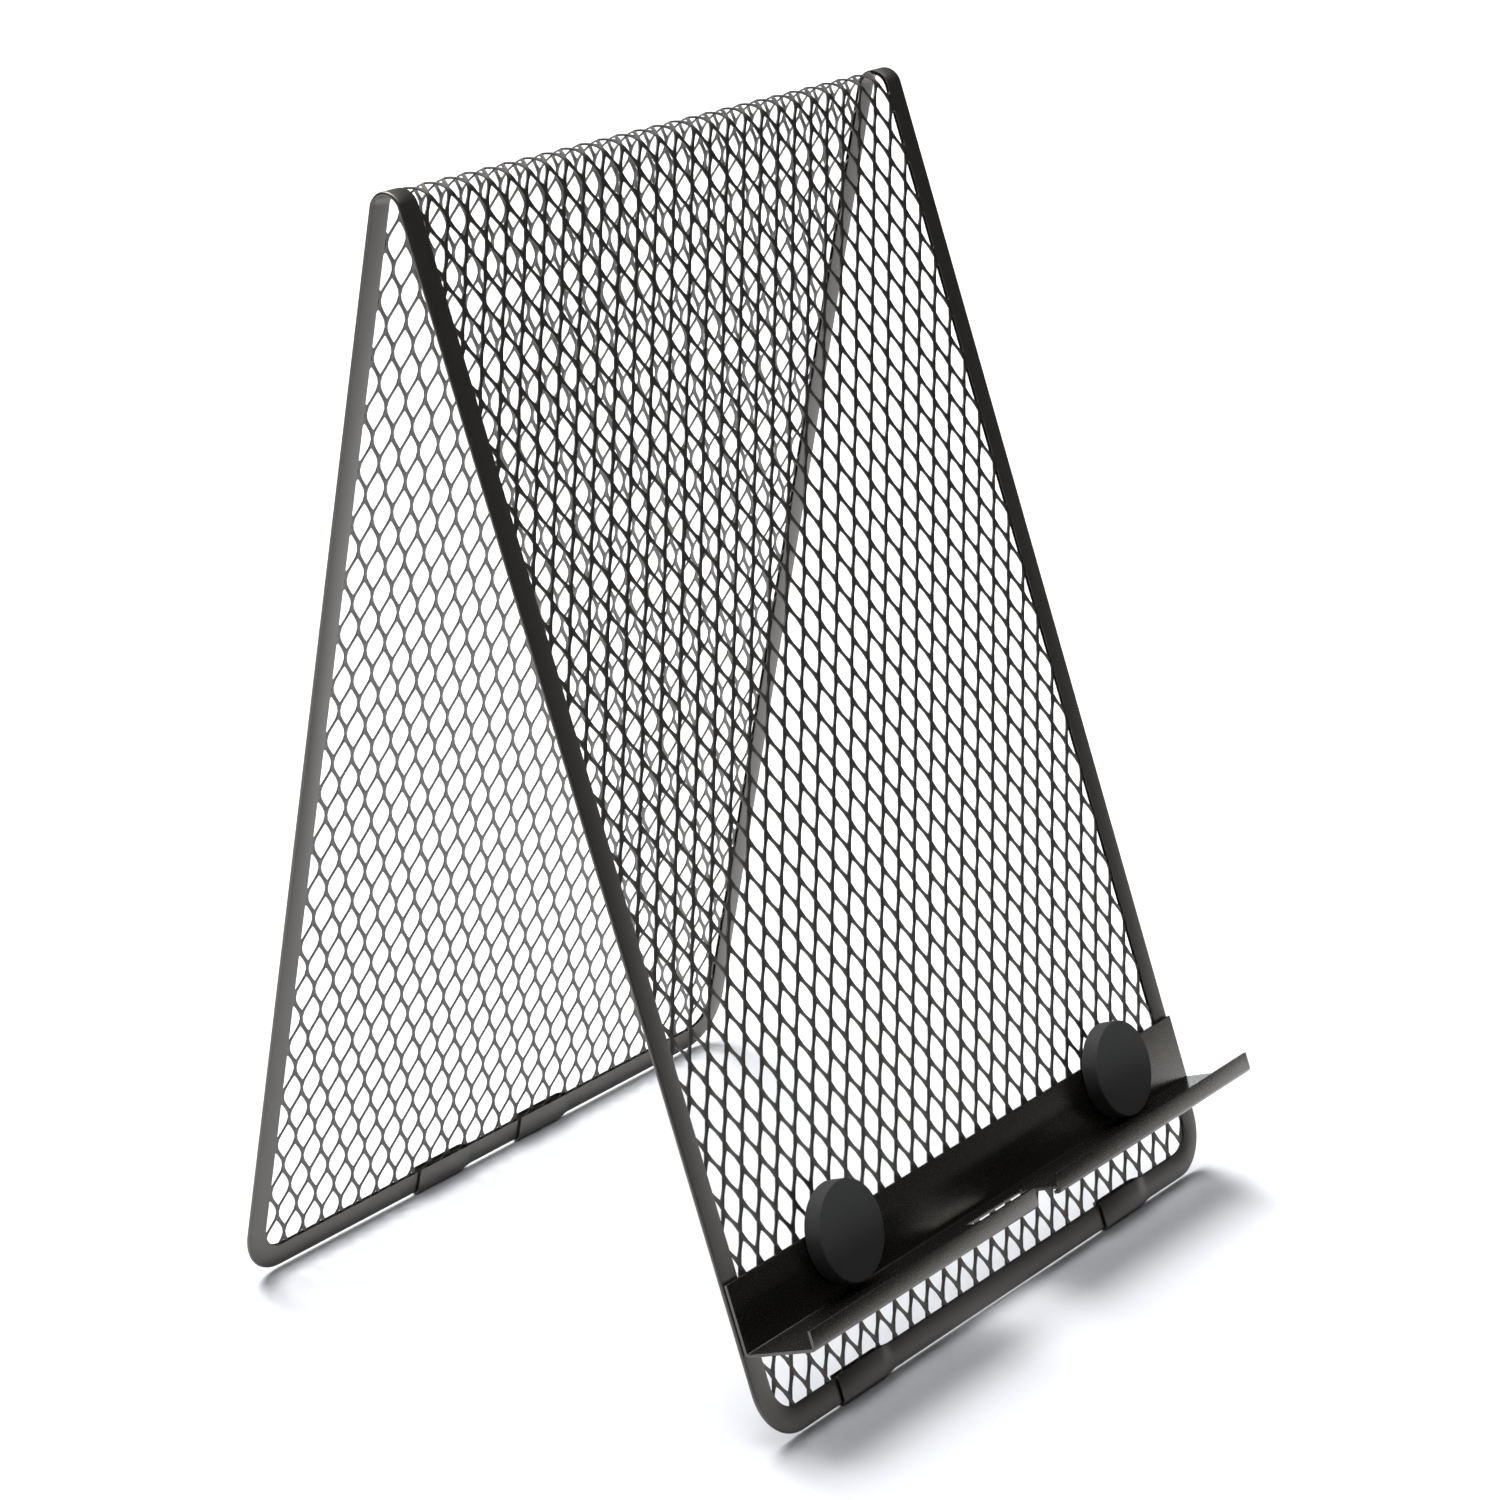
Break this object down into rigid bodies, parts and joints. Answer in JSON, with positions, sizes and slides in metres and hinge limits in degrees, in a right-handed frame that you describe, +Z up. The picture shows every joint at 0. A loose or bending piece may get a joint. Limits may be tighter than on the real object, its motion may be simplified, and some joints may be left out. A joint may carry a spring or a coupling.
{
  "type": "book display stand",
  "caption": "A-frame stand of folded expanded metal with channel edging, a page ledge with a lip across the front and loose round magnets.",
  "frame": {"origin": "middle of the base, on the surface the stand stands on", "axes": "+Z up, -Y towards the reader, X along the ledge, to the right as seen by the reader"},
  "size_m": [0.216, 0.1844, 0.2994],
  "materials": {
    "edge_paint": "dark grey semi-gloss powder coat on folded steel channel",
    "mesh_paint": "dark grey semi-gloss powder coat on expanded steel",
    "ledge_paint": "dark grey semi-gloss powder coat on folded sheet steel",
    "magnet_cap": "dark grey moulded plastic, satin",
    "magnet_core": "bare sintered ferrite"
  },
  "bodies": {
    "stand": {"rim_left": "edge_paint", "rim_right": "edge_paint", "rim_front": "edge_paint", "rim_rear": "edge_paint", "mesh_sheet": "mesh_paint", "page_ledge": "ledge_paint"},
    "magnet_left": {"magnet_left_cap": "magnet_cap", "magnet_left_core": "magnet_core"},
    "magnet_right": {"magnet_right_cap": "magnet_cap", "magnet_right_core": "magnet_core"}
  },
  "joints": [
    {"name": "magnet_left_pull", "type": "slide", "parent": "stand", "child": "magnet_left", "axis": [0, -0.9416, 0.3367], "range_m": [0, 0.012]},
    {"name": "magnet_right_pull", "type": "slide", "parent": "stand", "child": "magnet_right", "axis": [0, -0.9416, 0.3367], "range_m": [0, 0.012]}
  ]
}
